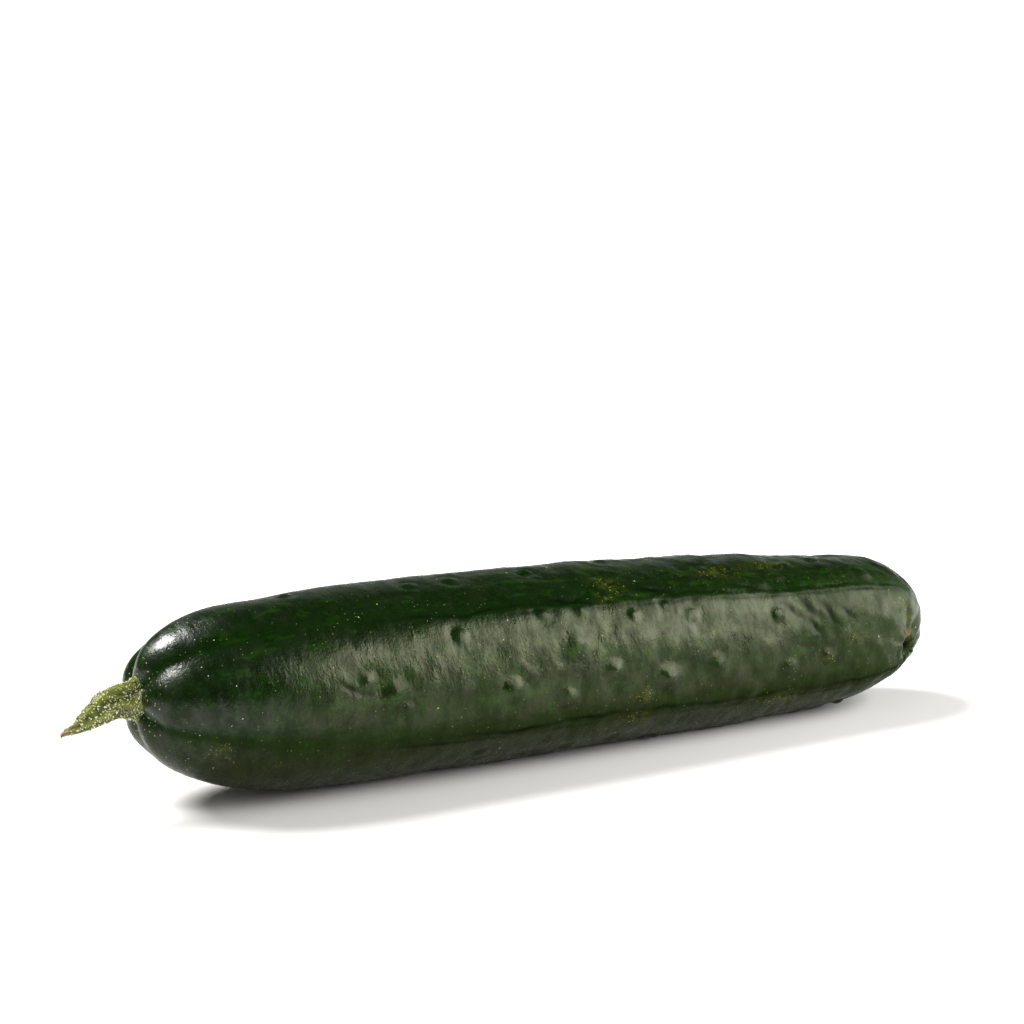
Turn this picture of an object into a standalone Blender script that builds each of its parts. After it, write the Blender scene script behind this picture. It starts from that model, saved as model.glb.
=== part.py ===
"""A slicing cucumber as picked, lying on its side, with its cut stem.

The fruit lies along X, its stem at -X and its blossom end at +X, with +Z up. Both pieces hang on one empty,
which puts the origin at the bottom centre of the whole. An angle round the fruit is 0 at its front (-Y)
and 90 degrees at its top.
"""

from math import asin, cos, exp, pi, radians, sin, sqrt

import bmesh
import bpy
from mathutils import Vector

# Driving dimensions, in metres and degrees.
FRUIT_LENGTH = 0.229
STEM_END_DIAMETER = 0.0489
MIDDLE_DIAMETER = 0.0486
BLOSSOM_END_DIAMETER = 0.0401
STEM_CAP_LENGTH = 0.050
BLOSSOM_CAP_LENGTH = 0.0365

FURROWS = 5
FIRST_FURROW_ANGLE = 50.0
FURROW_TWIST = -10.0
SHOULDER_FURROW_DEPTH = 0.0017
SHOULDER_FURROW_WIDTH = 20.0
SHOULDER_FURROW_REACH = 0.039
SIDE_FURROW_DEPTH = 0.00035
SIDE_FURROW_WIDTH = 7.0
FACET_DEPTH = 0.0005

STEM_DIMPLE_DEPTH = 0.0026
STEM_DIMPLE_RADIUS = 0.0075
BLOSSOM_SCAR_FROM_END = 0.0115
BLOSSOM_SCAR_ANGLE = -6.0
BLOSSOM_DIMPLE_DEPTH = 0.0014
BLOSSOM_DIMPLE_RADIUS = 0.0055

STEM_END_HOOK = 0.0005
BLOSSOM_END_HOOK = 0.0030
HOOK_LENGTH = 0.070
STEM_END_RISE = 0.0043
STEM_END_RISE_LENGTH = 0.094
BLOSSOM_END_RISE = 0.0036
BLOSSOM_END_RISE_LENGTH = 0.060
REST_DEPTH = 0.0013

STEM_LENGTH = 0.0188
STEM_BASE_DIAMETER = 0.0104
STEM_DIAMETER = 0.0066
STEM_TIP_DIAMETER = 0.0030
STEM_FLARE_LENGTH = 0.00175
STEM_DROOP = 0.0036
STEM_SWING = 0.0025
STEM_CUT_SLOPE = 0.45
STEM_RIBS = 5
STEM_RIB_HEIGHT = 0.00035
STEM_GAP = 0.0003

# How finely the surfaces are divided.
FRUIT_SEGMENTS = 70
CAP_RINGS = 11
BODY_RINGS = 26
STEM_SEGMENTS = 30
STEM_RINGS = 14
STEM_SEAT_RINGS = 3

# A cap's outline is a superellipse: 2 is an ellipse, and more is blunter.
CAP_BLUNTNESS = 2.54
CAP_POWER = 2 / CAP_BLUNTNESS
# The share of the cap's radius over which the furrows rise from nothing at its pole.
FURROW_START = 0.35
# How the stem bends: at 1 it would slope evenly, and at 2 it bends as an arc does.
STEM_DROOP_POWER = 1.5
STEM_SWING_POWER = 2
# How far the shaft's first ring stands out from the foot, as a share of the foot's radius.
STEM_FOOT_RISE = 0.5


def body_radius(along):
    """The fruit's radius without its rounded ends: a parabola through its three diameters."""
    u = along / FRUIT_LENGTH
    at_start = STEM_END_DIAMETER * (2 * u - 1) * (u - 1)
    at_middle = MIDDLE_DIAMETER * 4 * u * (1 - u)
    at_end = BLOSSOM_END_DIAMETER * u * (2 * u - 1)
    return (at_start + at_middle + at_end) / 2


def near_end(distance, reach):
    """1 at an end of the fruit, falling as a parabola to 0 at reach from it."""
    return max(0.0, 1 - distance / reach) ** 2


def spine(along):
    """The fruit's centre line: its ends hook forward a little, and the stem end lifts off the surface."""
    to_end = FRUIT_LENGTH - along
    forward = STEM_END_HOOK * near_end(along, HOOK_LENGTH)
    forward += BLOSSOM_END_HOOK * near_end(to_end, HOOK_LENGTH)
    rise = STEM_END_RISE * near_end(along, STEM_END_RISE_LENGTH)
    rise += BLOSSOM_END_RISE * near_end(to_end, BLOSSOM_END_RISE_LENGTH)
    height = body_radius(along) - REST_DEPTH + rise
    return Vector((along - FRUIT_LENGTH / 2, -forward, height))


def angle_between(a, b):
    """The smaller angle between two directions, in degrees."""
    return abs((a - b + 180) % 360 - 180)


def furrow_depth(along, angle):
    """How far the skin lies below its round shape: wide furrows at the stem end, fine ones on the sides."""
    turn = FURROW_TWIST * along / FRUIT_LENGTH
    shoulder = SHOULDER_FURROW_DEPTH * exp(-((along / SHOULDER_FURROW_REACH) ** 2))
    depth = 0.0
    for i in range(FURROWS):
        away = angle_between(angle, FIRST_FURROW_ANGLE + turn + i * 360 / FURROWS)
        depth += shoulder * exp(-((away / SHOULDER_FURROW_WIDTH) ** 2))
        depth += SIDE_FURROW_DEPTH * exp(-((away / SIDE_FURROW_WIDTH) ** 2))
    facets = cos(radians(FURROWS * (angle - FIRST_FURROW_ANGLE - turn)))
    flatness = min(1.0, along / STEM_CAP_LENGTH)
    return depth + FACET_DEPTH * flatness * (1 - facets) / 2


def skin_without_scar(along, swell, angle):
    """A point of the skin. swell is its radius as a share of body_radius, under 1 on the rounded ends."""
    depth = furrow_depth(along, angle)
    radius = body_radius(along) * swell - depth * swell
    inward = depth * sqrt(max(0.0, 1 - swell * swell)) * min(1.0, swell / FURROW_START)
    if along < FRUIT_LENGTH / 2:
        inward += STEM_DIMPLE_DEPTH * exp(-((radius / STEM_DIMPLE_RADIUS) ** 2))
    else:
        inward = -inward
    turn = radians(angle)
    return spine(along) + Vector((inward, -radius * cos(turn), radius * sin(turn)))


def cap_swell(to_end, cap_length):
    """The radius of a rounded end at a distance from its pole, as a share of body_radius."""
    flat = 1 - min(1.0, to_end / cap_length)
    return (1 - flat**CAP_BLUNTNESS) ** (1 / CAP_BLUNTNESS)


def skin_point(along, swell, angle):
    """A point of the skin, with the dimple of the blossom scar, which sits on the front of the rounded end."""
    point = skin_without_scar(along, swell, angle)
    scar_along = FRUIT_LENGTH - BLOSSOM_SCAR_FROM_END
    scar_swell = cap_swell(BLOSSOM_SCAR_FROM_END, BLOSSOM_CAP_LENGTH)
    scar = skin_without_scar(scar_along, scar_swell, BLOSSOM_SCAR_ANGLE)
    away = (point - scar).length
    inward = (spine(FRUIT_LENGTH - BLOSSOM_CAP_LENGTH) - scar).normalized()
    point += inward * BLOSSOM_DIMPLE_DEPTH * exp(-((away / BLOSSOM_DIMPLE_RADIUS) ** 2))
    point.z = max(point.z, 0.0)
    return point


def fruit_stations():
    """(along, swell) from one pole to the other."""
    cap = [pi / 2 * i / CAP_RINGS for i in range(CAP_RINGS + 1)]
    rising = [(STEM_CAP_LENGTH * (1 - cos(a) ** CAP_POWER), sin(a) ** CAP_POWER) for a in cap[:-1]]
    straight = FRUIT_LENGTH - STEM_CAP_LENGTH - BLOSSOM_CAP_LENGTH
    body = [(STEM_CAP_LENGTH + straight * i / BODY_RINGS, 1.0) for i in range(BODY_RINGS + 1)]
    falling = []
    for a in reversed(cap[:-1]):
        to_end = BLOSSOM_CAP_LENGTH * (1 - cos(a) ** CAP_POWER)
        falling.append((FRUIT_LENGTH - to_end, sin(a) ** CAP_POWER))
    return rising + body + falling


def closed_tube(name, rings, start, end):
    """A closed object from rings of points, with a pole point before the first ring and after the last."""
    mesh = bmesh.new()
    poles = [mesh.verts.new(start), mesh.verts.new(end)]
    loops = [[mesh.verts.new(point) for point in ring] for ring in rings]
    count = len(loops[0])
    for i in range(count):
        j = (i + 1) % count
        mesh.faces.new((poles[0], loops[0][j], loops[0][i]))
        for near, far in zip(loops, loops[1:]):
            mesh.faces.new((near[i], near[j], far[j], far[i]))
        mesh.faces.new((loops[-1][i], loops[-1][j], poles[1]))
    bmesh.ops.recalc_face_normals(mesh, faces=mesh.faces)
    data = bpy.data.meshes.new(name)
    mesh.to_mesh(data)
    mesh.free()
    data.shade_smooth()
    obj = bpy.data.objects.new(name, data)
    bpy.context.scene.collection.objects.link(obj)
    return obj


def add_material(obj, name, colour, roughness):
    """A plain Principled material."""
    material = bpy.data.materials.new(name)
    material.use_nodes = True
    shader = material.node_tree.nodes["Principled BSDF"]
    shader.inputs["Base Color"].default_value = (*colour, 1)
    shader.inputs["Roughness"].default_value = roughness
    shader.inputs["Metallic"].default_value = 0.0
    material.diffuse_color = (*colour, 1)
    obj.data.materials.append(material)


def make_fruit():
    """The whole cucumber: a tube of rings, closed at the stem dimple and at the blossom dimple."""
    angles = [360 * i / FRUIT_SEGMENTS for i in range(FRUIT_SEGMENTS)]
    stations = fruit_stations()
    rings = [[skin_point(along, swell, a) for a in angles] for along, swell in stations[1:-1]]
    poles = [skin_point(along, swell, 0) for along, swell in (stations[0], stations[-1])]
    fruit = closed_tube("fruit", rings, *poles)
    add_material(fruit, "skin", colour=(0.020, 0.045, 0.012), roughness=0.38)
    return fruit


def seat_point(radius, angle):
    """A point of the stem's foot, a small gap off the skin of the stem dimple."""
    rise = asin((radius / body_radius(0)) ** (1 / CAP_POWER))
    point = skin_point(STEM_CAP_LENGTH * (1 - cos(rise) ** CAP_POWER), sin(rise) ** CAP_POWER, angle)
    return point - Vector((STEM_GAP, 0, 0))


def stem_radius(out):
    """The stem's radius: a flared foot, then an even taper to its tip."""
    taper = STEM_DIAMETER + (STEM_TIP_DIAMETER - STEM_DIAMETER) * (out / STEM_LENGTH) ** 2
    flare = (STEM_BASE_DIAMETER - STEM_DIAMETER) * exp(-out / STEM_FLARE_LENGTH)
    return (taper + flare) / 2


def stem_ring(out):
    """One ribbed ring of the stem, standing out from its seat along -X as it droops and swings forward."""
    share = out / STEM_LENGTH
    forward = STEM_SWING * share**STEM_SWING_POWER
    down = STEM_DROOP * share**STEM_DROOP_POWER
    centre = seat_point(0, 0) + Vector((-out, -forward, -down))
    ring = []
    for i in range(STEM_SEGMENTS):
        turn = 2 * pi * i / STEM_SEGMENTS
        radius = stem_radius(out) + STEM_RIB_HEIGHT * cos(STEM_RIBS * turn) * sin(pi * share)
        # The cut at the tip is oblique: it takes more off the upper side.
        lean = STEM_CUT_SLOPE * radius * sin(turn) * share
        ring.append(centre + Vector((lean, -radius * cos(turn), radius * sin(turn))))
    return ring


def make_stem():
    """The cut stalk: a foot that follows the dimple, then ribbed rings out to the oblique cut."""
    turns = [360 * i / STEM_SEGMENTS for i in range(STEM_SEGMENTS)]
    foot_radius = stem_radius(0)
    seat = []
    for i in range(STEM_SEAT_RINGS):
        radius = foot_radius * (i + 1) / STEM_SEAT_RINGS
        seat.append([seat_point(radius, turn) for turn in turns])
    first = foot_radius * STEM_FOOT_RISE
    outs = [first + (STEM_LENGTH - first) * i / (STEM_RINGS - 1) for i in range(STEM_RINGS)]
    shaft = [stem_ring(out) for out in outs]
    tip = sum(shaft[-1], Vector()) / STEM_SEGMENTS
    stem = closed_tube("stem", seat + shaft, seat_point(0, 0), tip)
    add_material(stem, "stem", colour=(0.26, 0.28, 0.09), roughness=0.65)
    return stem


def centre_on_floor(objects):
    """Hangs the pieces on one empty that puts the origin at the bottom centre of them all."""
    corners = [vertex.co for obj in objects for vertex in obj.data.vertices]
    low = [min(corner[axis] for corner in corners) for axis in range(3)]
    high = [max(corner[axis] for corner in corners) for axis in range(3)]
    whole = bpy.data.objects.new("cucumber", None)
    whole.location = (-(low[0] + high[0]) / 2, -(low[1] + high[1]) / 2, -low[2])
    bpy.context.scene.collection.objects.link(whole)
    for obj in objects:
        obj.parent = whole


for old in list(bpy.data.objects):
    bpy.data.objects.remove(old)
centre_on_floor([make_fruit(), make_stem()])
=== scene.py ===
"""The looks of a slicing cucumber that lies on its side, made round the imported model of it.

Lengths are in metres. A place on the fruit is a share of its length, from 0 at the stem end to 1 at the
blossom end, and an angle round it in degrees, from 0 at its front (-Y) to 90 at its top.
"""

import bpy
import numpy as np
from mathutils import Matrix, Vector, noise
from mathutils.bvhtree import BVHTree


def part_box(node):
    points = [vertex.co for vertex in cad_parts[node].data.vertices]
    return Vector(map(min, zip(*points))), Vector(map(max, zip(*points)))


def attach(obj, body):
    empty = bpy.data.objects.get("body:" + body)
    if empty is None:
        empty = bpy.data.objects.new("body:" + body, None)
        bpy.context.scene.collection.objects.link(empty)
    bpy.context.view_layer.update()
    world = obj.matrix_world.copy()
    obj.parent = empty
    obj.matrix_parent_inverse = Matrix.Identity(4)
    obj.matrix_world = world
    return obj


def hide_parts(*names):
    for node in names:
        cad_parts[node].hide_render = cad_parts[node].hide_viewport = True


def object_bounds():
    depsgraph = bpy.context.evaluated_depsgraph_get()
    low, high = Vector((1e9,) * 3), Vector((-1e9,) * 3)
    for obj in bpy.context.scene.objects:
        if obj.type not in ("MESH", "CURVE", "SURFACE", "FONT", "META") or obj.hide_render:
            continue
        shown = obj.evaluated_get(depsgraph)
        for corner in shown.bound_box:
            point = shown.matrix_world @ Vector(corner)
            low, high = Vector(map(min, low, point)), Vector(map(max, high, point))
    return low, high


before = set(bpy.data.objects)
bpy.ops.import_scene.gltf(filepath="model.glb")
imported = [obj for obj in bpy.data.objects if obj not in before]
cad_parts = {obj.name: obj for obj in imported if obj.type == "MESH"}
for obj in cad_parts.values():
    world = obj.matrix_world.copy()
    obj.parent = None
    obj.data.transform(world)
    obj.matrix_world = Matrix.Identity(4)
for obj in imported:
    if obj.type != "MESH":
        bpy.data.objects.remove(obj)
cad_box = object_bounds()

MM = 0.001
BODY = "root"

# How far apart in the noise two seeds are read.
SEED_SPACING = 17.3

# The skin's grid, how many rows and columns it is smoothed over, the coarse grid that spaces its rows, and
# how far along the fruit its rounded ends are cast as fans of rays.
SKIN_COLUMNS = 264
SKIN_ROWS = 372
SKIN_ROW_BLUR = 4.5
SKIN_COLUMN_BLUR = 3.2
COARSE_ROWS = 400
COARSE_TURN = 30
STEM_FAN_FROM_END = 45 * MM
BLOSSOM_FAN_FROM_END = 36 * MM

# The fruit's centre line: how far from the ends it stops, its points, and how it is smoothed and found. The
# last value is how far outside the stem end a ray starts.
LINE_FROM_STEM_END = 10 * MM
LINE_FROM_BLOSSOM_END = 8 * MM
LINE_POINTS = 90
LINE_BLUR = 3
NO_BLUR = 0.1
CENTRING_TURN = 10
CENTRING_ROUNDS = 4
CLEAR_OF_FRUIT = 10 * MM

# The stem's foot at y and z, the blossom scar, and the share and angle of the tan spot beside it.
STEM_FOOT = (-0.6 * MM, 27.3 * MM)
SCAR_FROM_END = 12.0 * MM
SCAR_ANGLE = -15
TAN_SPOT = (0.949, -2)

# The five furrows: the first one's angle at the stem end, and how far they turn by the blossom end.
FURROWS = 5
FIRST_FURROW = 50
FURROW_TWIST = -10


def smooth_step(value, start, end):
    """0 up to start, 1 from end on, and an S between them; start may be the greater."""
    t = np.clip((value - start) / (end - start), 0, 1)
    return t * t * (3 - 2 * t)


def turn_between(a, b):
    """The signed angle from b to a, from -180 to 180 degrees."""
    return (a - b + 180) % 360 - 180


def perlin(points, size, seed):
    """Smooth noise at each point, about -1 to 1, with features of one size, or of a size for each axis.

    Each use has a seed of its own.
    """
    scaled = points / np.asarray(size) + seed * SEED_SPACING
    flat = scaled.reshape(-1, 3)
    values = np.array([noise.noise(p, noise_basis="PERLIN_ORIGINAL") for p in flat])
    return values.reshape(points.shape[:-1])


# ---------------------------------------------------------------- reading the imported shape


def node_tree(name):
    """The CAD node's surface, ready for casting rays at."""
    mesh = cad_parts[name].data
    return BVHTree.FromPolygons([v.co for v in mesh.vertices], [p.vertices for p in mesh.polygons])


def around(angles):
    """Unit directions across X at angles in degrees, from -Y towards +Z."""
    turn = np.radians(angles)
    return np.stack([np.zeros_like(turn), -np.cos(turn), np.sin(turn)], axis=-1)


def cast(tree, origins, directions):
    """The distance from each origin to the surface along its direction."""
    shape = directions.shape[:-1]
    starts = np.broadcast_to(origins, directions.shape).reshape(-1, 3)
    hits = [tree.ray_cast(o, d)[3] for o, d in zip(starts, directions.reshape(-1, 3))]
    if None in hits:
        raise ValueError("a ray missed the surface, so its origin lies outside the solid")
    return np.array(hits).reshape(shape)


def centre_line(tree, xs, start):
    """The solid's middle at each x. Each round of casting halves what the middle is off by."""
    directions = around(np.arange(0, 360, CENTRING_TURN))
    middle = np.array(start, float)
    middles = []
    for x in xs:
        middle[0] = x
        for _ in range(CENTRING_ROUNDS):
            reach = cast(tree, middle, directions)
            middle = middle + (directions * reach[:, None]).mean(axis=0)
        middles.append(middle.copy())
    return np.array(middles)


def blurred(values, rows, columns, fan_poles):
    """values smoothed by a Gaussian of so many rows and columns, which reaches over the poles of a fan."""
    def kernel(width):
        reach = int(3 * width)
        weights = np.exp(-0.5 * (np.arange(-reach, reach + 1) / width) ** 2)
        return reach, weights / weights.sum()

    reach, weights = kernel(columns)
    across = sum(w * np.roll(values, k - reach, axis=1) for k, w in enumerate(weights))
    reach, weights = kernel(rows)
    if fan_poles:
        opposite = np.roll(across, across.shape[1] // 2, axis=1)
        padded = np.vstack([opposite[:reach][::-1], across, opposite[-reach:][::-1]])
    else:
        padded = np.pad(across, ((reach, reach), (0, 0)), mode="edge")
    return sum(w * padded[k:k + len(values)] for k, w in enumerate(weights))


def grid_normals(points, fan_poles):
    """Outward unit normals of a grid of points whose rows are rings."""
    if fan_poles:
        opposite = np.roll(points, points.shape[1] // 2, axis=1)
        padded = np.concatenate([opposite[:1], points, opposite[-1:]])
    else:
        padded = np.pad(points, ((1, 1), (0, 0), (0, 0)), mode="edge")
    along = padded[2:] - padded[:-2]
    round_it = np.roll(points, -1, axis=1) - np.roll(points, 1, axis=1)
    normal = np.cross(along, round_it)
    return normal / np.maximum(np.linalg.norm(normal, axis=-1, keepdims=True), 1e-12)


def tube_object(name, points, first_pole, last_pole):
    """A closed mesh object: rings of points between two poles."""
    rows, columns = points.shape[:2]
    vertices = np.vstack([points.reshape(-1, 3), first_pole, last_pole])
    index = np.arange(rows * columns).reshape(rows, columns)
    after = np.roll(index, -1, axis=1)
    quads = np.stack([index[:-1], index[1:], after[1:], after[:-1]], axis=-1).reshape(-1, 4)
    start, end = rows * columns, rows * columns + 1
    faces = quads.tolist()
    faces += [(start, int(i), int(j)) for i, j in zip(index[0], after[0])]
    faces += [(end, int(j), int(i)) for i, j in zip(index[-1], after[-1])]
    mesh = bpy.data.meshes.new(name)
    mesh.from_pydata(vertices.tolist(), [], faces)
    mesh.shade_smooth()
    obj = bpy.data.objects.new(name, mesh)
    bpy.context.scene.collection.objects.link(obj)
    return obj


def add_mask(obj, name, values):
    """A number at each vertex of a tube, which its material reads. The poles take their ring's mean."""
    full = np.concatenate([values.ravel(), [values[0].mean(), values[-1].mean()]])
    attribute = obj.data.attributes.new(name, "FLOAT", "POINT")
    attribute.data.foreach_set("value", full.astype(np.float32))


# ---------------------------------------------------------------- the fruit's plain surface


class FruitGrid:
    """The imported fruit's surface as even rings of points, its facets smoothed away."""

    def __init__(self):
        self.tree = node_tree("fruit")
        low, high = (np.array(corner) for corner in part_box("fruit"))
        self.low_x = low[0]
        self.length = high[0] - low[0]
        self.body_start = low[0] + STEM_FAN_FROM_END
        self.body_end = high[0] - BLOSSOM_FAN_FROM_END
        self.line_x = np.linspace(low[0] + LINE_FROM_STEM_END, high[0] - LINE_FROM_BLOSSOM_END, LINE_POINTS)
        raw = centre_line(self.tree, self.line_x, (low + high) / 2)
        smooth = [blurred(raw[:, k:k + 1], LINE_BLUR, NO_BLUR, False)[:, 0] for k in (1, 2)]
        self.line = np.stack([self.line_x, *smooth], axis=-1)
        self.stem_pole = self.seen_from_stem_end(*STEM_FOOT)
        self.blossom_pole = self.surface_point(1 - SCAR_FROM_END / self.length, SCAR_ANGLE)

        # The rows are even steps along the surface, measured on a coarse grid first.
        steps = np.linspace(0, 3, COARSE_ROWS)[1:-1]
        origins, directions = self.rays(steps, np.arange(0, 360, COARSE_TURN))
        coarse = origins + directions * cast(self.tree, origins, directions)[..., None]
        moves = np.linalg.norm(np.diff(coarse, axis=0), axis=-1).mean(axis=1)
        travel = np.concatenate([[0], np.cumsum(moves)])
        rows = np.interp(np.linspace(0, travel[-1], SKIN_ROWS), travel, steps)
        self.angles = np.arange(SKIN_COLUMNS) * 360 / SKIN_COLUMNS
        origins, directions = self.rays(rows, self.angles)
        reach = blurred(cast(self.tree, origins, directions), SKIN_ROW_BLUR, SKIN_COLUMN_BLUR, True)
        self.surface = origins + directions * reach[..., None]

    def seen_from_stem_end(self, y, z):
        """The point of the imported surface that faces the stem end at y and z."""
        start = Vector((self.low_x - CLEAR_OF_FRUIT, y, z))
        return np.array(self.tree.ray_cast(start, Vector((1, 0, 0)))[0])

    def middle(self, x):
        """The centre line's point at x."""
        y, z = (np.interp(x, self.line_x, self.line[:, k]) for k in (1, 2))
        return np.stack([x, y, z], -1)

    def surface_point(self, share, angle):
        """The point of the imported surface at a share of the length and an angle."""
        middle = self.middle(np.array(self.low_x + share * self.length))
        direction = around(np.array(float(angle)))
        return middle + direction * cast(self.tree, middle, direction[None])[0]

    def rays(self, steps, angles):
        """Origins and directions: steps 0 to 1 fan out from the stem's pole, 1 to 2 pass along the body,
        and 2 to 3 close on the blossom's pole."""
        x = np.interp(steps, [1, 2], [self.body_start, self.body_end])
        origins = self.middle(x)
        axis = np.tile([1.0, 0, 0], (len(steps), 1))
        to_stem = self.middle(np.array(self.body_start)) - self.stem_pole
        to_blossom = self.blossom_pole - self.middle(np.array(self.body_end))
        for pole_axis, share in ((to_stem, 1 - steps), (to_blossom, steps - 2)):
            pole_axis = pole_axis / np.linalg.norm(pole_axis)
            share = np.clip(share, 0, 1)[:, None]
            axis = axis * (1 - share) + pole_axis * share
        axis /= np.linalg.norm(axis, axis=1, keepdims=True)
        side = np.cross(axis, [0, 0, 1.0])
        side /= np.linalg.norm(side, axis=1, keepdims=True)
        upward = np.cross(side, axis)
        polar = np.radians(90 * (np.clip(steps, 0, 1) + np.clip(steps - 2, 0, 1)))
        turn = np.radians(angles)
        outward = np.cos(turn)[:, None] * side[:, None] + np.sin(turn)[:, None] * upward[:, None]
        directions = np.sin(polar)[:, None, None] * outward - np.cos(polar)[:, None, None] * axis[:, None]
        return origins[:, None], directions


# ---------------------------------------------------------------- the skin's relief

# Broad swellings and hollows: share, angle, height, length along, width in degrees.
SWELLINGS = [
    (0.03, 110, -0.5 * MM, 12 * MM, 45),
    (0.15, 105, -1.4 * MM, 13 * MM, 40),
    (0.25, 105, -0.1 * MM, 14 * MM, 40),
    (0.86, 105, -2.0 * MM, 12 * MM, 40),
    (0.93, 105, -0.5 * MM, 9 * MM, 40),
    (0.76, 105, 0.3 * MM, 6 * MM, 30),
    (0.04, -65, -0.4 * MM, 12 * MM, 40),
    (0.03, -92, 0.7 * MM, 9 * MM, 14),
    (0.70, -75, 0.6 * MM, 12 * MM, 30),
    (0.95, -70, -0.7 * MM, 12 * MM, 40),
    (0.34, -80, -0.6 * MM, 9 * MM, 30),
    (0.79, 105, -0.3 * MM, 6 * MM, 35),
]

# Warts on the front: share, angle, height, radius, and the depth of the crater as a share of the height.
WARTS = [
    (0.639, 33, 0.52 * MM, 1.4 * MM, 0.9),
    (0.482, 24, 0.46 * MM, 2.4 * MM, 0.0),
    (0.528, 4, 0.72 * MM, 1.9 * MM, 0.1),
    (0.600, -5, 1.09 * MM, 2.5 * MM, 0.0),
    (0.468, -10, 0.87 * MM, 2.1 * MM, 0.2),
    (0.568, -15, 0.58 * MM, 1.6 * MM, 0.5),
    (0.562, 36, 0.43 * MM, 1.3 * MM, 0.2),
    (0.607, 40, 0.51 * MM, 1.1 * MM, 0.9),
    (0.496, 43, 0.51 * MM, 1.5 * MM, 0.2),
    (0.448, 43, 0.43 * MM, 1.3 * MM, 0.3),
    (0.341, 36, 0.51 * MM, 1.4 * MM, 0.2),
    (0.398, 0, 0.87 * MM, 2.1 * MM, 0.2),
    (0.256, 7, 0.72 * MM, 2.2 * MM, 0.1),
    (0.267, -3, 0.51 * MM, 1.6 * MM, 0.2),
    (0.224, 16, 0.43 * MM, 1.5 * MM, 0.3),
    (0.370, -43, 0.51 * MM, 1.3 * MM, 0.4),
    (0.755, 28, 0.58 * MM, 1.3 * MM, 0.6),
    (0.666, -1, 0.72 * MM, 2.1 * MM, 0.1),
    (0.766, -10, 0.72 * MM, 1.9 * MM, 0.5),
    (0.821, -5, 0.58 * MM, 1.5 * MM, 0.2),
    (0.714, -22, 0.72 * MM, 2.1 * MM, 0.1),
    (0.873, -63, 0.72 * MM, 1.3 * MM, 0.1),
    (0.436, -59, 0.65 * MM, 1.7 * MM, 0.2),
    (0.491, -55, 0.58 * MM, 1.7 * MM, 0.2),
    (0.550, -54, 0.65 * MM, 1.7 * MM, 0.2),
    (0.615, -65, 0.65 * MM, 1.7 * MM, 0.2),
]

# The warts that are spread over the rest of the fruit: how many, their random seed, and the front's angles,
# which the list above covers.
SPREAD_WARTS = 70
SPREAD_SEED = 5
FRONT_ANGLES = (-60, 46)

# A wart's shallow moat and its crater, in radii of the wart.
MOAT_DEPTH = 0.35
MOAT_RADIUS = 1.9
MOAT_WIDTH = 0.8
CRATER_WIDTH = 0.45
WART_REACH = 4


def spread_warts():
    """More warts over the rest of the fruit, thicker on the ground towards the blossom end."""
    rng = np.random.default_rng(SPREAD_SEED)
    warts = []
    while len(warts) < SPREAD_WARTS:
        share = rng.uniform(0.15, 0.93)
        angle = rng.uniform(-180, 180)
        height = rng.uniform(0.2, 0.45) * MM
        radius = rng.uniform(1.1, 2.0) * MM
        crater = rng.choice([0.0, 0.1, 0.3])
        wanted = rng.uniform(0, 1) < share
        on_front = FRONT_ANGLES[0] < angle < FRONT_ANGLES[1]
        if wanted and not on_front:
            warts.append((share, angle, height, radius, crater))
    return warts


# Slanting creases, most of them near the blossom end: share and angle at each end, depth and width.
CREASES = [
    ((0.785, 40), (0.815, 22), 0.22 * MM, 0.9 * MM),
    ((0.765, 36), (0.790, 24), 0.16 * MM, 0.8 * MM),
    ((0.815, 34), (0.842, 14), 0.20 * MM, 0.9 * MM),
    ((0.795, 22), (0.815, 12), 0.14 * MM, 0.8 * MM),
    ((0.840, 30), (0.868, 18), 0.14 * MM, 0.9 * MM),
    ((0.700, 52), (0.760, 47), 0.18 * MM, 0.8 * MM),
    ((0.560, 56), (0.640, 49), 0.20 * MM, 0.9 * MM),
    ((0.440, 52), (0.520, 50), 0.16 * MM, 0.9 * MM),
    ((0.180, 18), (0.225, 8), 0.16 * MM, 0.8 * MM),
    ((0.012, -17), (0.085, -27), 0.30 * MM, 1.1 * MM),
    ((0.960, 4), (0.990, 40), 0.45 * MM, 1.0 * MM),
]
CREASE_BEND = 0.6 * MM
CREASE_TURNS = 7

# The lips beside a crease's cut: their height against its depth, and their place and width against its width.
LIP_HEIGHT = 0.5
LIP_PLACE = 1.8
LIP_WIDTH = 1.2

# Patches of yellow russet specks: share, angle, reach along and round the fruit.
RUSSET = [
    (0.548, 60, 4 * MM, 5 * MM),
    (0.536, 52, 3 * MM, 3 * MM),
    (0.568, -15, 3 * MM, 3 * MM),
    (0.557, -30, 6 * MM, 2 * MM),
    (0.760, -33, 7 * MM, 2 * MM),
    (0.862, 6, 3 * MM, 2 * MM),
    (0.821, -5, 2 * MM, 2 * MM),
    (0.943, 20, 3 * MM, 4.5 * MM),
    (0.955, 14, 3 * MM, 4.5 * MM),
    (0.780, 74, 9 * MM, 3 * MM),
    (0.700, 66, 7 * MM, 3 * MM),
    (0.070, -26, 5 * MM, 3 * MM),
    (0.500, 170, 12 * MM, 6 * MM),
    (0.800, -130, 9 * MM, 5 * MM),
    (0.300, 120, 12 * MM, 4 * MM),
]

# Random unevenness: height, the size of its bumps along and across the fruit, and how much of it the smooth
# stem end keeps. All but the first are slanted and bent.
UNEVENNESS = [
    (0.42 * MM, 17 * MM, 17 * MM, 0.0),
    (0.30 * MM, 8 * MM, 8 * MM, 0.0),
    (0.17 * MM, 3.8 * MM, 6 * MM, 0.12),
    (0.08 * MM, 1.9 * MM, 3.2 * MM, 0.15),
]
SMOOTH_TO, BUMPY_FROM = 0.12, 0.60
SLANT = 0.35
BEND = 1.6 * MM
BEND_SIZE = 7 * MM

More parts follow.
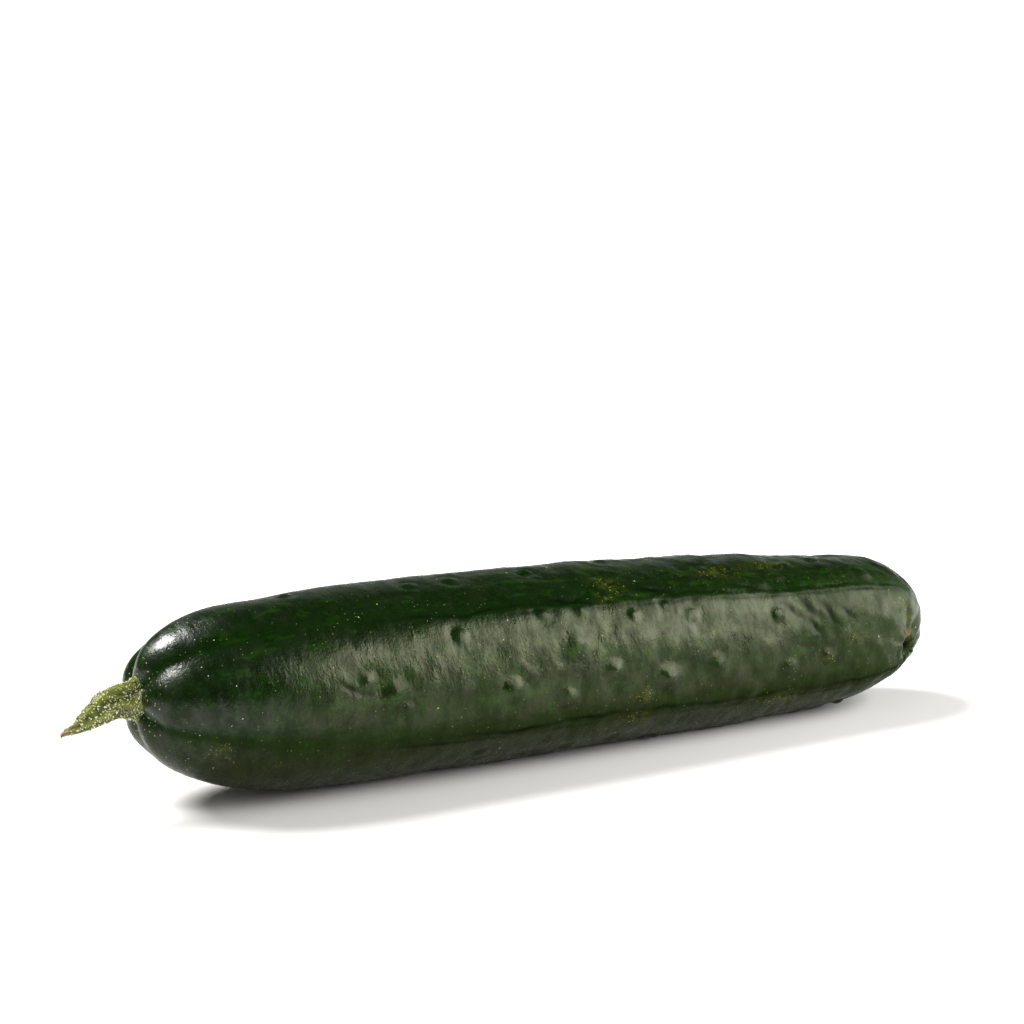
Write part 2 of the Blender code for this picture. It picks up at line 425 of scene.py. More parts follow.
# A furrow's ridge, its two broken lines and its green band, in degrees beside the furrow's middle, how it
# wobbles (degrees, length of a bend and seed), and the shares of the length over which it comes and goes.
RIDGE_HEIGHT = 0.85 * MM
RIDGE_WIDTH = 11
RIDGE_ROUNDING = 1.5
# The broken lines are cut and also painted dark as shade.
FIRST_LINE, FIRST_LINE_WIDTH = -1.2, 1.2
SECOND_LINE, SECOND_LINE_WIDTH = 3.5, 1.4
LINE_DEPTH = 0.16 * MM
GREEN_BAND, GREEN_BAND_WIDTH = 5, 6.5
FURROW_WOBBLE = [(1.8, 17 * MM, 20), (0.8, 5 * MM, 30)]
FURROW_COMES = (0.20, 0.34)
FURROW_GOES = (0.93, 0.985)

# The blossom scar: its pit, the low ring round that, the folds that close on it and the tan spot beside it.
PIT_DEPTH, PIT_RADIUS = 1.3 * MM, 2.1 * MM
# How far from the scar the pit is painted dark as shade.
PIT_SHADE_RADIUS = 1.7 * MM
RING_HEIGHT, RING_RADIUS, RING_WIDTH = 0.45 * MM, 3.4 * MM, 1.3 * MM
FOLD_DEPTH, FOLD_REACH = 0.19 * MM, 13 * MM
LUMP_HEIGHT, LUMP_SIZE = 0.45 * MM, 6 * MM
TAN_RADIUS = 1.1 * MM

# Where the skin's regions fade in: heights for the belly and the crown, whose green is painted darker as
# shade, and distances from the stem for the shoulder, which is as wide as this many degrees beside the top.
BELLY = (26 * MM, 7 * MM)
SHADED_CROWN = (33 * MM, 43 * MM)
SHOULDER = (45 * MM, 25 * MM)
SHOULDER_WIDTH = 24


def bell(value, width):
    """1 where value is 0, falling to 1/e at the width."""
    return np.exp(-((value / width) ** 2))


def swellings(grid, share, from_stem):
    """The broad swellings' height, which fades out at the stem."""
    height = np.zeros_like(share)
    for at, angle, rise, reach, width in SWELLINGS:
        away = ((share - at) * grid.length / reach) ** 2 + (turn_between(grid.angles, angle) / width) ** 2
        height += rise * np.exp(-away)
    return height * smooth_step(from_stem, 4 * MM, 10 * MM)


def unevenness(p, share):
    """The random bumps' height."""
    bumpy = smooth_step(share, SMOOTH_TO, BUMPY_FROM)
    slanted = p + SLANT * p[..., 2:] * [1, 0, 0]
    bent = slanted + BEND * np.stack([perlin(p, BEND_SIZE, seed) for seed in (11, 12, 13)], axis=-1)
    height = np.zeros_like(share)
    for seed, (rise, length, width, kept) in enumerate(UNEVENNESS, 1):
        place = p if seed == 1 else bent
        height += rise * (kept + bumpy) * perlin(place, (length, width, width), seed)
    return height


def warts(grid):
    """The warts' height: mounds in shallow moats, some of them with a crater."""
    height = np.zeros(grid.surface.shape[:-1])
    for share, angle, rise, radius, crater in WARTS + spread_warts():
        away = np.linalg.norm(grid.surface - grid.surface_point(share, angle), axis=-1) / radius
        near = away < WART_REACH
        a = away[near]
        mound = bell(a, 1) - MOAT_DEPTH * bell(a - MOAT_RADIUS, MOAT_WIDTH)
        height[near] += rise * (mound - crater * bell(a, CRATER_WIDTH))
    return height


def creases(grid):
    """The creases' height, each a cut between two low lips, and the mask of the shade painted in their cuts.
    """
    p = grid.surface
    height = np.zeros(p.shape[:-1])
    mask = np.zeros(p.shape[:-1])
    for start, end, depth, width in CREASES:
        a = grid.surface_point(*start)
        b = grid.surface_point(*end)
        along = np.clip(((p - a) @ (b - a)) / ((b - a) @ (b - a)), 0, 1)
        bend = CREASE_BEND * np.sin(along * CREASE_TURNS)[..., None] * [1, 0, 0]
        away = np.linalg.norm(p - (a + along[..., None] * (b - a)) - bend, axis=-1) / width
        cut = bell(away, 1) * np.sin(np.pi * np.clip(along, 0.08, 0.92))
        lips = LIP_HEIGHT * bell(away - LIP_PLACE, LIP_WIDTH) * np.sin(np.pi * along)
        height += depth * (lips - cut)
        # The cut's mask: where the skin is painted dark as shade.
        mask = np.maximum(mask, cut)
    return height, mask


def furrows(grid, share):
    """The furrows' height, the mask of the shade painted in their lines and the mask of the green band along
    them.
    """
    p = grid.surface
    from_line = p - grid.middle(p[..., 0])
    angle = np.degrees(np.arctan2(from_line[..., 2], -from_line[..., 1]))
    along = p * [1, 0, 0]
    fade = smooth_step(share, *FURROW_COMES) * (1 - smooth_step(share, *FURROW_GOES))
    height, line_shade_mask, band_mask = (np.zeros_like(share) for _ in range(3))
    for i in range(FURROWS):
        seat = FIRST_FURROW + FURROW_TWIST * share + i * 360 / FURROWS
        wobble = sum(turn * perlin(along, size, seed + i) for turn, size, seed in FURROW_WOBBLE)
        off = turn_between(angle, seat + wobble)
        height += fade * RIDGE_HEIGHT * np.exp(-np.sqrt(off**2 + RIDGE_ROUNDING) / RIDGE_WIDTH)
        patchy = np.clip(0.5 + 0.9 * perlin(along, 13 * MM, 40 + i), 0, 1)
        first = bell(off - FIRST_LINE, FIRST_LINE_WIDTH) * patchy
        second = bell(off - SECOND_LINE - wobble, SECOND_LINE_WIDTH) * (1.1 - patchy)
        lines = fade * np.maximum(first, second)
        height -= LINE_DEPTH * lines
        line_shade_mask = np.maximum(line_shade_mask, lines)
        band_mask = np.maximum(band_mask, bell(off - GREEN_BAND, GREEN_BAND_WIDTH))
    return height, line_shade_mask, band_mask


def russet_mask(grid):
    mask = np.zeros(grid.surface.shape[:-1])
    for share, angle, reach, width in RUSSET:
        away = grid.surface - grid.surface_point(share, angle)
        near = (away[..., 0] / reach) ** 2 + (np.linalg.norm(away[..., 1:], axis=-1) / width) ** 2
        mask = np.maximum(mask, np.exp(-near))
    return mask


def scar(grid, from_scar):
    """The blossom scar's height and the mask of the shade painted in its pit."""
    p = grid.surface
    folds = np.cos(np.radians(grid.angles * 8 + 40)) + 0.7 * np.cos(np.radians(grid.angles * 13 + 10))
    folds = folds + 1.2 * perlin(p, 4 * MM, 60)
    around_pit = smooth_step(from_scar, 1.5 * MM, 4 * MM) * bell(from_scar, FOLD_REACH)
    height = (FOLD_DEPTH * folds + LUMP_HEIGHT * perlin(p, LUMP_SIZE, 61)) * around_pit
    height -= PIT_DEPTH * bell(from_scar, PIT_RADIUS)
    height += RING_HEIGHT * bell(from_scar - RING_RADIUS, RING_WIDTH)
    return height, np.exp(-((from_scar / PIT_SHADE_RADIUS) ** 4))


def relief(grid):
    """How far each point of the skin stands out from the plain surface, and the masks its material reads."""
    p = grid.surface
    share = (p[..., 0] - grid.low_x) / grid.length
    from_stem = np.linalg.norm(p - grid.stem_pole, axis=-1)
    from_scar = np.linalg.norm(p - grid.blossom_pole, axis=-1)
    crease_height, crease_shade_mask = creases(grid)
    furrow_height, line_shade_mask, band_mask = furrows(grid, share)
    scar_height, pit_shade_mask = scar(grid, from_scar)
    height = swellings(grid, share, from_stem) + unevenness(p, share) + warts(grid)
    height += crease_height + furrow_height + scar_height

    from_tan_spot = np.linalg.norm(p - grid.surface_point(*TAN_SPOT), axis=-1)
    from_top = turn_between(np.broadcast_to(grid.angles, share.shape), 90)
    masks = {
        "furrow": band_mask,
        # Painted shade: the creases, the furrows' lines and the blossom pit are darkened.
        "crease_shade": np.maximum(np.maximum(crease_shade_mask, line_shade_mask), pit_shade_mask),
        "russet": russet_mask(grid),
        "scar": from_scar / MM,
        "tan": np.exp(-((from_tan_spot / TAN_RADIUS) ** 4)),
        "foot": from_stem / MM,
        "belly": smooth_step(p[..., 2], *BELLY),
        # The crown: painted darker as shade, and given more green patches.
        "shaded_crown": smooth_step(p[..., 2], *SHADED_CROWN),
        "shoulder": bell(from_top, SHOULDER_WIDTH) * smooth_step(from_stem, *SHOULDER),
    }
    return height, masks


# ---------------------------------------------------------------- materials

# How strong each finer layer of a noise is against the one before, and a dot's solid part.
NOISE_ROUGHNESS = 0.6
DOT_CORE = 0.6


class Painter:
    """One material's nodes. Its methods return output sockets, which feed each other."""

    def __init__(self, name):
        self.material = bpy.data.materials.new(name)
        self.material.use_nodes = True
        self.tree = self.material.node_tree
        self.shader = self.tree.nodes["Principled BSDF"]
        self.place = self.tree.nodes.new("ShaderNodeTexCoord").outputs["Object"]

    def node(self, kind, inputs, **settings):
        node = self.tree.nodes.new(kind)
        for name, value in settings.items():
            setattr(node, name, value)
        for key, value in inputs.items():
            if isinstance(value, bpy.types.NodeSocket):
                self.tree.links.new(value, node.inputs[key])
            else:
                node.inputs[key].default_value = value
        return node

    def math(self, operation, a, b):
        return self.node("ShaderNodeMath", {0: a, 1: b}, operation=operation).outputs[0]

    def mask(self, name):
        return self.node("ShaderNodeAttribute", {}, attribute_name=name).outputs["Fac"]

    def scaled(self, size):
        """The place on the object, counted in features of one size, or of a size for each axis."""
        scale = [1 / s for s in (size if isinstance(size, tuple) else (size,) * 3)]
        return self.node("ShaderNodeMapping", {"Vector": self.place, "Scale": scale}).outputs[0]

    def noise(self, size, detail=2.0):
        inputs = {"Vector": self.scaled(size), "Scale": 1.0, "Detail": detail, "Roughness": NOISE_ROUGHNESS}
        return self.node("ShaderNodeTexNoise", inputs).outputs["Fac"]

    def between(self, value, low, high):
        """0 where value is below low, 1 above high, smooth between; low may be the greater."""
        inputs = {"Value": value, "From Min": low, "From Max": high}
        return self.node("ShaderNodeMapRange", inputs, interpolation_type="SMOOTHSTEP").outputs[0]

    def ranged(self, value, low, high):
        """value, from 0 to 1, spread from low to high."""
        inputs = {"Value": value, "To Min": low, "To Max": high}
        return self.node("ShaderNodeMapRange", inputs).outputs[0]

    def blend(self, share, a, b):
        node = self.node("ShaderNodeMix", {0: share}, data_type="RGBA")
        for key, value in ((6, a), (7, b)):
            if isinstance(value, bpy.types.NodeSocket):
                self.tree.links.new(value, node.inputs[key])
            else:
                node.inputs[key].default_value = (*value, 1)
        return node.outputs[2]

    def dots(self, spacing, radius, share):
        """1 inside scattered round dots, in a share of the cells."""
        cells = self.node("ShaderNodeTexVoronoi", {"Vector": self.scaled(spacing), "Scale": 1.0})
        edge = radius / spacing
        inside = self.between(cells.outputs["Distance"], edge, DOT_CORE * edge)
        lot = self.node("ShaderNodeSeparateColor", {0: cells.outputs["Color"]}).outputs[0]
        chosen = self.math("LESS_THAN", lot, share)
        return self.math("MULTIPLY", inside, chosen)

    def bump(self, height, depth, under=None):
        inputs = {"Height": height, "Distance": depth}
        if under is not None:
            inputs["Normal"] = under
        return self.node("ShaderNodeBump", inputs).outputs[0]

    def finish(self, colour, roughness, normal):
        for key, value in (("Base Color", colour), ("Roughness", roughness), ("Normal", normal)):
            self.tree.links.new(value, self.shader.inputs[key])
        return self.material


# The skin's colours, in linear light.
SKIN = {
    "deep": (0.0028, 0.0100, 0.0012),
    "streak": (0.0060, 0.0210, 0.0020),
    "mottle": (0.011, 0.034, 0.0030),
    "fine": (0.018, 0.048, 0.0045),
    "patch": (0.017, 0.064, 0.0025),
    "furrow": (0.010, 0.040, 0.0030),
    # Painted shade: the darker green of the crown.
    "shaded_crown": (0.0025, 0.0100, 0.0010),
    "belly": (0.017, 0.022, 0.0040),
    "olive": (0.020, 0.034, 0.007),
    # Painted shade, for the creases, the furrows' lines and the blossom pit.
    "crease_shade": (0.0015, 0.005, 0.001),
    "dark_tan": (0.10, 0.045, 0.012),
    "tan": (0.30, 0.17, 0.055),
    "speck": (0.20, 0.23, 0.08),
    "big_speck": (0.42, 0.40, 0.20),
    "stain": (0.050, 0.065, 0.006),
    "fleck": (0.42, 0.35, 0.08),
    "dense": (0.34, 0.32, 0.11),
    "grain": (0.50, 0.48, 0.27),
}
SKIN_ROUGHNESS = (0.24, 0.38)
SKIN_IOR = 1.45
WARM_SHEEN = (1.0, 0.98, 0.70)
NEUTRAL_SHEEN = (1.0, 1.0, 0.97)


def skin_greens(paint):
    """The green below the specks: streaks, mottles and patches, then what each region has of its own, and
    painted shade on the crown and in the creases.
    """
    def tinted(colour, share, strength, name):
        return paint.blend(paint.math("MULTIPLY", share, strength), colour, SKIN[name])

    streaks = paint.between(paint.noise((30 * MM, 6 * MM, 6 * MM), 3), 0.35, 0.7)
    mottle = paint.between(paint.noise(3.5 * MM, 4), 0.42, 0.75)
    fine = paint.between(paint.noise(1.0 * MM, 3), 0.50, 0.72)
    patches = paint.between(paint.noise((7 * MM, 3 * MM, 3 * MM), 5), 0.53, 0.66)
    patches = paint.math("MULTIPLY", patches, paint.ranged(paint.mask("shaded_crown"), 0.35, 0.9))
    colour = paint.blend(streaks, SKIN["deep"], SKIN["streak"])
    colour = tinted(colour, mottle, 0.5, "mottle")
    colour = tinted(colour, fine, 0.55, "fine")
    colour = paint.blend(patches, colour, SKIN["patch"])
    colour = tinted(colour, paint.mask("furrow"), 0.35, "furrow")
    # Painted shade: the crown is darkened.
    colour = tinted(colour, paint.mask("shaded_crown"), 0.6, "shaded_crown")
    colour = tinted(colour, paint.mask("belly"), 0.8, "belly")
    colour = tinted(colour, paint.between(paint.mask("scar"), 34, 8), 0.5, "olive")
    # Painted shade in the creases, the furrows' lines and the blossom pit.
    colour = tinted(colour, paint.mask("crease_shade"), 0.9, "crease_shade")
    spot = paint.blend(mottle, SKIN["dark_tan"], SKIN["tan"])
    return paint.blend(paint.mask("tan"), colour, spot)


def skin_specks(paint, colour):
    """The colour with its pale specks, russet and grains, and how much of them stands up."""
    clusters = paint.between(paint.noise(11 * MM, 2), 0.40, 0.72)
    specks = paint.dots(1.1 * MM, 0.15 * MM, paint.ranged(clusters, 0.12, 0.70))
    colour = paint.blend(specks, colour, SKIN["speck"])
    big_specks = paint.dots(3.2 * MM, 0.26 * MM, paint.math("MULTIPLY", clusters, 0.5))
    colour = paint.blend(big_specks, colour, SKIN["big_speck"])

    russet = paint.mask("russet")
    stain = paint.math("MULTIPLY", russet, paint.between(paint.noise(2.2 * MM, 3), 0.4, 0.65))
    colour = paint.blend(paint.math("MULTIPLY", stain, 0.6), colour, SKIN["stain"])
    flecks = paint.between(paint.noise((0.75 * MM, 0.5 * MM, 0.5 * MM), 2), 0.66, 0.72)
    flecks = paint.math("MULTIPLY", flecks, paint.between(russet, 0.25, 0.7))
    colour = paint.blend(flecks, colour, SKIN["fleck"])
    dense = paint.dots(0.9 * MM, 0.16 * MM, paint.math("MULTIPLY", russet, 0.4))
    colour = paint.blend(dense, colour, SKIN["dense"])

    from_stem = paint.mask("foot")
    near_stem = paint.math("MULTIPLY", paint.between(from_stem, 15, 4), 0.55)
    farther = paint.math("MULTIPLY", paint.between(from_stem, 34, 12), 0.10)
    grains = paint.dots(0.8 * MM, 0.20 * MM, paint.math("ADD", near_stem, farther))
    colour = paint.blend(grains, colour, SKIN["grain"])
    return colour, paint.math("MAXIMUM", grains, dense)


def skin_shine(paint, near_stem_end):
    """The specular level: a patchy bloom, dull in the creases, under the fruit and at the blossom end."""
    bloom = paint.between(paint.noise((4 * MM, 7 * MM, 7 * MM), 5), 0.36, 0.64)
    furrow = paint.mask("furrow")
    near_scar = paint.between(paint.mask("scar"), 48, 28)
    shine = paint.ranged(paint.mask("crease_shade"), 0.5, 0.03)
    for share, at_none, at_full in (
        (paint.mask("belly"), 1.0, 0.4),
        (bloom, 0.58, 1.15),
        (paint.math("MULTIPLY", furrow, near_stem_end), 1.0, 0.35),
        (furrow, 1.0, 0.5),
        (paint.mask("shoulder"), 1.0, 2.6),
        (near_scar, 1.0, 0.68),
    ):
        shine = paint.math("MULTIPLY", shine, paint.ranged(share, at_none, at_full))
    return shine


def skin_material():
    """Dark green, mottled and streaked, waxy, and scattered with pale specks, with painted shade on its crown
    and in its creases.
    """
    paint = Painter("cucumber_skin")
    colour, raised = skin_specks(paint, skin_greens(paint))
    gloss = paint.between(paint.noise((3 * MM, 6 * MM, 6 * MM), 3), 0.3, 0.7)
    roughness = paint.ranged(gloss, *SKIN_ROUGHNESS)
    normal = paint.bump(paint.noise((2.2 * MM, 4.5 * MM, 4.5 * MM), 3), 0.20 * MM)
    normal = paint.bump(paint.noise(0.7 * MM, 2), 0.07 * MM, normal)
    normal = paint.bump(raised, 0.05 * MM, normal)

    near_stem_end = paint.between(paint.mask("foot"), 50, 25)
    tint = paint.blend(near_stem_end, WARM_SHEEN, NEUTRAL_SHEEN)
    paint.tree.links.new(tint, paint.shader.inputs["Specular Tint"])
    paint.tree.links.new(skin_shine(paint, near_stem_end), paint.shader.inputs["Specular IOR Level"])
    paint.shader.inputs["IOR"].default_value = SKIN_IOR
    return paint.finish(colour, roughness, normal)


# The stem's colours, in linear light.
STEM = {
    # Painted shade between the stem's ribs.
    "groove_shade": (0.030, 0.050, 0.004),
    "crest": (0.19, 0.23, 0.025),
    "bruise": (0.075, 0.060, 0.018),
    "pale_dot": (0.60, 0.58, 0.34),
    "dry_brown": (0.13, 0.085, 0.035),
    "dry_straw": (0.40, 0.31, 0.17),
    "bristle": (0.85, 0.82, 0.62),
    "brown_bristle": (0.45, 0.43, 0.20),
}


def stem_material():
    """Yellow-green, painted dark as shade between its ribs, and dried to tan at the tip."""
    paint = Painter("cucumber_stem")
    rib, tip = paint.mask("rib"), paint.mask("tip")
    fibres = paint.noise((4 * MM, 0.8 * MM, 0.8 * MM), 3)
    # Painted shade: darker where the stem lies low between its ribs and fibres.
    crest = paint.between(paint.math("ADD", rib, paint.ranged(fibres, -0.5, 0.5)), 0.15, 0.85)
    colour = paint.blend(crest, STEM["groove_shade"], STEM["crest"])
    bruise = paint.between(paint.noise(3 * MM, 3), 0.52, 0.70)
    colour = paint.blend(paint.math("MULTIPLY", bruise, 0.7), colour, STEM["bruise"])
    pale = paint.dots(0.7 * MM, 0.18 * MM, 0.5)
    colour = paint.blend(pale, colour, STEM["pale_dot"])
    dry = paint.blend(paint.between(fibres, 0.4, 0.6), STEM["dry_brown"], STEM["dry_straw"])
    colour = paint.blend(tip, colour, dry)
    roughness = paint.ranged(paint.noise(1 * MM, 2), 0.30, 0.55)
    normal = paint.bump(fibres, 0.25 * MM)
    normal = paint.bump(pale, 0.08 * MM, normal)
    return paint.finish(colour, roughness, normal)


def bristle_material():
    """Cream, browner on some bristles than on others."""
    paint = Painter("cucumber_bristle")
    mottle = paint.between(paint.noise(1.5 * MM, 2), 0.4, 0.65)
    colour = paint.blend(mottle, STEM["bristle"], STEM["brown_bristle"])
    roughness = paint.ranged(mottle, 0.35, 0.55)
    normal = paint.bump(paint.noise(0.2 * MM, 2), 0.02 * MM)
    return paint.finish(colour, roughness, normal)


# ---------------------------------------------------------------- pieces


def declare(piece, node, material):
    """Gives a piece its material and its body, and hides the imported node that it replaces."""
    piece.data.materials.append(material)
    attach(piece, BODY)
    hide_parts(node)


def make_skin(grid):
    """The fruit's skin, which nowhere goes below the surface that it lies on."""
    height, masks = relief(grid)
    points = grid.surface + height[..., None] * grid_normals(grid.surface, True)
    points[..., 2] = np.maximum(points[..., 2], 0)
    skin = tube_object("skin", points, points[0].mean(axis=0), points[-1].mean(axis=0))
    for name, values in masks.items():
        add_mask(skin, name, values)
    declare(skin, "fruit", skin_material())


# The stem's shape along it: share from the foot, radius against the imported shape's, and lift.
STEM_PROFILE = [
    (0.15, 1.10, 0.9 * MM),
    (0.24, 1.13, 1.3 * MM),
    (0.43, 1.24, 0.8 * MM),
    (0.61, 1.02, -0.3 * MM),
    (0.75, 0.72, -1.1 * MM),
    (0.85, 0.52, -1.3 * MM),
    (0.96, 0.42, -1.2 * MM),
    (1.00, 0.30, -1.2 * MM),
]
STEM_SHAFT_ROWS = 60
STEM_SKIRT_ROWS = 14
STEM_COLUMNS = 120

# The shaft is cast from 3 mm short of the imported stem's foot to 1 mm short of its tip, and then drawn out to
# 0.6 mm short of it. A flaring skirt joins it to the fruit and ends tucked under the skin.
CAST_FROM_FOOT = 3.0 * MM
CAST_FROM_TIP = 1.0 * MM
SHAFT_FROM_TIP = 0.6 * MM
SKIRT_FLARE = 2.2
STEM_FOOT_RADIUS = 5.5 * MM
STEM_TUCK = 1.5 * MM

# Its ribs and fibres, where along -X it dries, and its bristles.
STEM_RIBS = 5
STEM_DRIES = (117.5 * MM, 122 * MM)
RIB_HEIGHT = 0.12 * MM
FIBRE_HEIGHT = 0.25 * MM
BRISTLES = 1100
BRISTLE_SIDES = 6
BRISTLE_SEED = 11


def stem_rings(grid):
    """The stem's rings of points from its tip to its foot, and how far each point is up a rib."""
    tree = node_tree("stem")
    low, high = (np.array(corner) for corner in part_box("stem"))
    xs = np.linspace(high[0] - CAST_FROM_FOOT, low[0] + CAST_FROM_TIP, STEM_SHAFT_ROWS)
    middles = centre_line(tree, xs, [xs[0], *STEM_FOOT])
    angles = np.arange(STEM_COLUMNS) * 360 / STEM_COLUMNS
    directions = np.broadcast_to(around(angles), (STEM_SHAFT_ROWS, STEM_COLUMNS, 3))
    reach = blurred(cast(tree, middles[:, None], directions), 2, 2, False)
    xs = np.linspace(xs[0], low[0] + SHAFT_FROM_TIP, STEM_SHAFT_ROWS)
    share = (high[0] - xs) / (high[0] - low[0])
    shares, factors, lifts = np.array(STEM_PROFILE).T
    middles[:, 0] = xs
    middles[:, 2] += np.interp(share, shares, lifts)
    reach *= blurred(np.interp(share, shares, factors)[:, None], 2, NO_BLUR, False)
    shaft = (middles[:, None] + directions * reach[..., None])[::-1]

    foot_middle = np.array([grid.stem_pole[0], middles[0, 1], middles[0, 2]])
    ribbed = np.cos(np.radians(STEM_RIBS * angles))
    ragged = 1 + 0.07 * perlin(around(angles) * 3, 1.0, 70) + 0.05 * ribbed
    edge = foot_middle + around(angles) * (STEM_FOOT_RADIUS * ragged)[:, None]
    for point in edge:
        point[0] = grid.seen_from_stem_end(point[1], point[2])[0]
    skirt = []
    for step in np.linspace(0, 1, STEM_SKIRT_ROWS + 1)[1:]:
        spread = shaft[-1] + (edge - shaft[-1]) * step**SKIRT_FLARE
        spread[:, 0] = shaft[-1][:, 0] + (edge[:, 0] - shaft[-1][:, 0]) * np.sin(np.pi / 2 * step)
        skirt.append(spread)
    tucked_in = edge + [STEM_TUCK, 0, 0]
    points = np.concatenate([shaft, skirt, tucked_in[None]])

    along = np.linspace(1, 0, len(points))[:, None]
    ribs = np.cos(np.radians(STEM_RIBS * angles)[None, :] + 1.2 * along)
    fibres = perlin(points, (6 * MM, 1.2 * MM, 1.2 * MM), 71)
    rise = (RIB_HEIGHT * ribs + FIBRE_HEIGHT * fibres) * smooth_step(1 - along, 0.0, 0.25)
    points = points + rise[..., None] * grid_normals(points, False)
    return points, 0.5 + 0.2 * ribs + 0.5 * fibres


def make_bristles(points):
    """Stubby bristles all over the stem, thickest on the ground towards its foot."""
    rng = np.random.default_rng(BRISTLE_SEED)
    normals = grid_normals(points, False)
    rows, columns = points.shape[:2]
    sides = np.arange(BRISTLE_SIDES) * 2 * np.pi / BRISTLE_SIDES
    vertices, faces = [], []
    for _ in range(BRISTLES):
        row = int((rows - 3) * rng.uniform(0.01, 1) ** 0.7)
        column = rng.integers(columns)
        place, up = points[row, column], normals[row, column]
        radius = rng.uniform(0.06, 0.16) * MM + rng.choice([0, 0.10 * MM], p=[0.7, 0.3])
        length = radius * rng.uniform(1.4, 3.0)
        side = np.cross(up, [0.3, 0.5, 0.8])
        side /= np.linalg.norm(side)
        other = np.cross(up, side)
        first = len(vertices)
        ring = [radius * (np.cos(t) * side + np.sin(t) * other) for t in sides]
        vertices += [place + 0.2 * length * up + r for r in ring]
        vertices += [place - 0.3 * length * up, place + length * up]
        root = first + BRISTLE_SIDES
        tip = root + 1
        for k in range(BRISTLE_SIDES):
            after = (k + 1) % BRISTLE_SIDES
            faces.append((first + after, first + k, root))
            faces.append((first + k, first + after, tip))
    mesh = bpy.data.meshes.new("stem_bristles")
    mesh.from_pydata([tuple(v) for v in vertices], [], faces)
    mesh.shade_smooth()
    bristles = bpy.data.objects.new("stem_bristles", mesh)
    bpy.context.scene.collection.objects.link(bristles)
    declare(bristles, "stem", bristle_material())


def make_stem(grid):
    """The stem's shaft, from its dried tip to where it spreads into the fruit, and its bristles."""
    points, rib = stem_rings(grid)
    stem = tube_object("stem_shaft", points, points[0].mean(axis=0), points[-1].mean(axis=0))
    tip = smooth_step(-points[..., 0], *STEM_DRIES)
    add_mask(stem, "rib", rib)
    add_mask(stem, "tip", tip)
    declare(stem, "stem", stem_material())
    make_bristles(points)


# ---------------------------------------------------------------- stage, lights and camera

# The camera: its direction from the object, its distance, how far it aims above and beside the box's centre,
# and its lens.
VIEW_AZIMUTH = -29.4
VIEW_ELEVATION = 14.9
VIEW_DISTANCE = 0.684
VIEW_LIFT = 0.0379
VIEW_PAN = 0.0006
LENS = 94.2

# Suns: strength, spread, and the azimuth and elevation they shine from. Panels, 1 m away: radiance, width,
# height, azimuth and elevation.
KEY_SUN = (4.6, 26, -138, 52)
FILL_SUN = (0.9, 120, -75, 42)
FILL_COLOUR = (1.0, 0.97, 0.93)
SOFTBOX = (6.3, 0.90, 0.84, 50, 27)
SIDE_PANEL = (2.4, 0.6, 0.6, 90, 14)

# The pale backdrop, which the camera doesn't see: its light, the cosines that bound it, how high it is
# centred, and the room's light round it.
BACKDROP_LIGHT = 0.4
BACKDROP_EDGE = (0.90, 0.98)
BACKDROP_ELEVATION = 4
ROOM_LIGHT = 0.03

FLOOR_HALF = 60.0
FLOOR_COLOUR = (0.87, 0.86, 0.84, 1)
FLOOR_ROUGHNESS = 0.9
PICTURE_GAMMA = 0.9


def toward(azimuth, elevation):
    """The unit direction at an azimuth, 0 at -Y and 90 at +X, and an elevation, in degrees."""
    a, e = np.radians(azimuth), np.radians(elevation)
    return Vector((np.sin(a) * np.cos(e), -np.cos(a) * np.cos(e), np.sin(e)))


def aimed(name, data, place, target):
    """A new object for a light or a camera, at a place and turned to a target."""
    obj = bpy.data.objects.new(name, data)
    obj.location = place
    obj.rotation_euler = (Vector(target) - Vector(place)).to_track_quat("-Z", "Y").to_euler()
    bpy.context.scene.collection.objects.link(obj)
    return obj


def make_floor():
    mesh = bpy.data.meshes.new("floor")
    corners = [(x * FLOOR_HALF, y * FLOOR_HALF, 0) for x, y in ((-1, -1), (1, -1), (1, 1), (-1, 1))]
    mesh.from_pydata(corners, [], [(0, 1, 2, 3)])
    floor = bpy.data.objects.new("floor", mesh)
    bpy.context.scene.collection.objects.link(floor)
    material = bpy.data.materials.new("floor")
    material.use_nodes = True
    shader = material.node_tree.nodes["Principled BSDF"]
    shader.inputs["Base Color"].default_value = FLOOR_COLOUR
    shader.inputs["Roughness"].default_value = FLOOR_ROUGHNESS
    shader.inputs["Specular IOR Level"].default_value = 0.0
    mesh.materials.append(material)


def add_sun(name, centre, strength, spread, azimuth, elevation):
    sun = bpy.data.lights.new(name, "SUN")
    sun.energy = strength
    sun.angle = np.radians(spread)
    return aimed(name, sun, centre + toward(azimuth, elevation) * 2, centre)


def add_panel(name, centre, radiance, width, height, azimuth, elevation):
    panel = bpy.data.lights.new(name, "AREA")
    panel.shape = "RECTANGLE"
    panel.size = width
    panel.size_y = height
    panel.energy = radiance * np.pi * width * height
    aimed(name, panel, centre + toward(azimuth, elevation), centre)


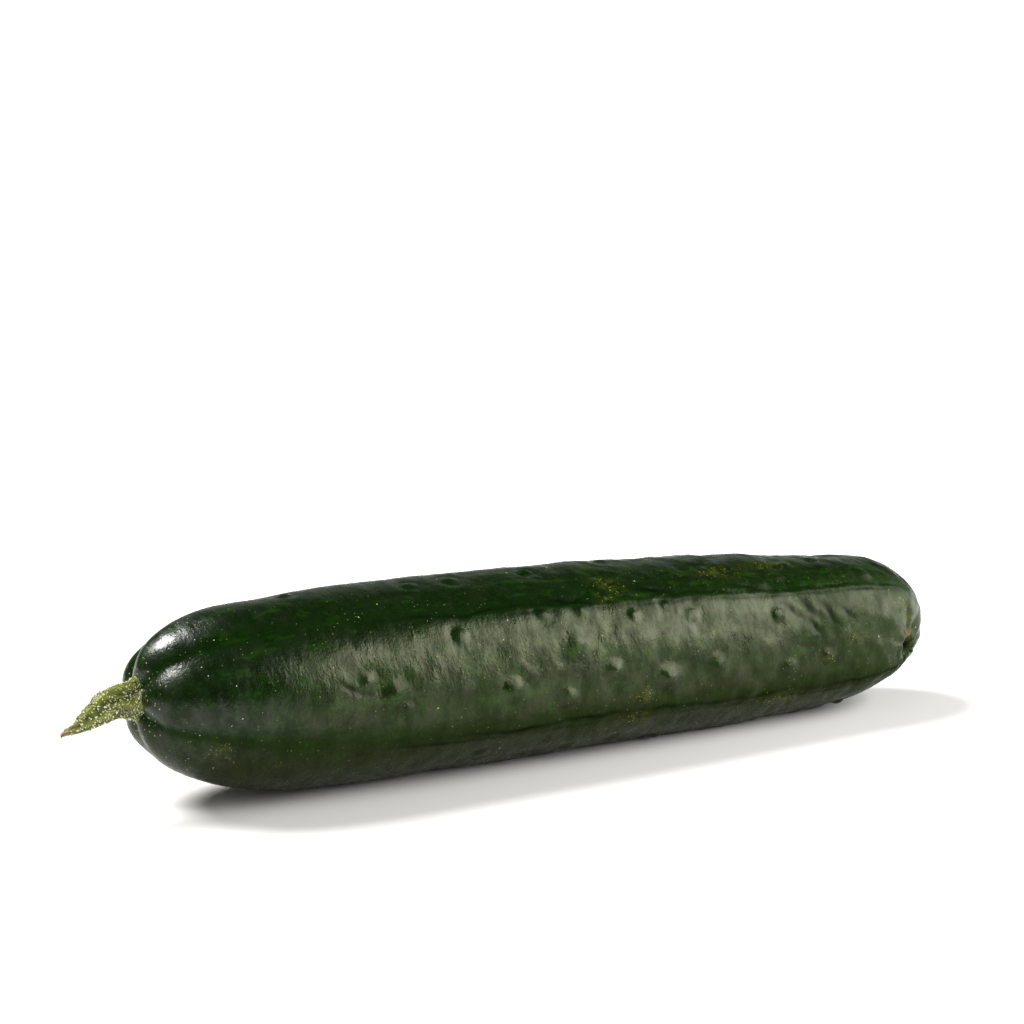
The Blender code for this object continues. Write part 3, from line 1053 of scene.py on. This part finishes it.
def add_lights(centre):
    add_sun("key", centre, *KEY_SUN)
    fill = add_sun("fill", centre, *FILL_SUN)
    fill.data.color = FILL_COLOUR
    fill.visible_glossy = False
    add_panel("softbox", centre, *SOFTBOX)
    add_panel("side", centre, *SIDE_PANEL)


def make_world():
    """White to the camera; to the object a dim room with a pale backdrop behind it."""
    world = bpy.data.worlds.new("studio")
    bpy.context.scene.world = world
    world.use_nodes = True
    tree = world.node_tree
    background = tree.nodes["Background"]

    place = tree.nodes.new("ShaderNodeTexCoord")
    facing = tree.nodes.new("ShaderNodeVectorMath")
    facing.operation = "DOT_PRODUCT"
    facing.inputs[1].default_value = toward(VIEW_AZIMUTH + 180, BACKDROP_ELEVATION)
    tree.links.new(place.outputs["Generated"], facing.inputs[0])
    backdrop = tree.nodes.new("ShaderNodeMapRange")
    backdrop.interpolation_type = "SMOOTHSTEP"
    backdrop.inputs["From Min"].default_value = BACKDROP_EDGE[0]
    backdrop.inputs["From Max"].default_value = BACKDROP_EDGE[1]
    backdrop.inputs["To Min"].default_value = ROOM_LIGHT
    backdrop.inputs["To Max"].default_value = BACKDROP_LIGHT
    tree.links.new(facing.outputs["Value"], backdrop.inputs["Value"])

    path = tree.nodes.new("ShaderNodeLightPath")
    mix = tree.nodes.new("ShaderNodeMix")
    mix.data_type = "RGBA"
    tree.links.new(path.outputs["Is Camera Ray"], mix.inputs[0])
    tree.links.new(backdrop.outputs[0], mix.inputs[6])
    mix.inputs[7].default_value = (1, 1, 1, 1)
    tree.links.new(mix.outputs[2], background.inputs["Color"])


def add_camera(centre):
    data = bpy.data.cameras.new("camera")
    data.lens = LENS
    data.clip_start = 0.01
    place = centre + toward(VIEW_AZIMUTH, VIEW_ELEVATION) * VIEW_DISTANCE
    pan = toward(VIEW_AZIMUTH - 90, 0) * VIEW_PAN
    bpy.context.scene.camera = aimed("camera", data, place, centre + pan + Vector((0, 0, VIEW_LIFT)))


cad_centre = (cad_box[0] + cad_box[1]) / 2
add_camera(cad_centre)
fruit_grid = FruitGrid()
make_skin(fruit_grid)
make_stem(fruit_grid)
make_floor()
add_lights(cad_centre)
make_world()
bpy.context.scene.view_settings.view_transform = "Standard"
bpy.context.scene.view_settings.gamma = PICTURE_GAMMA
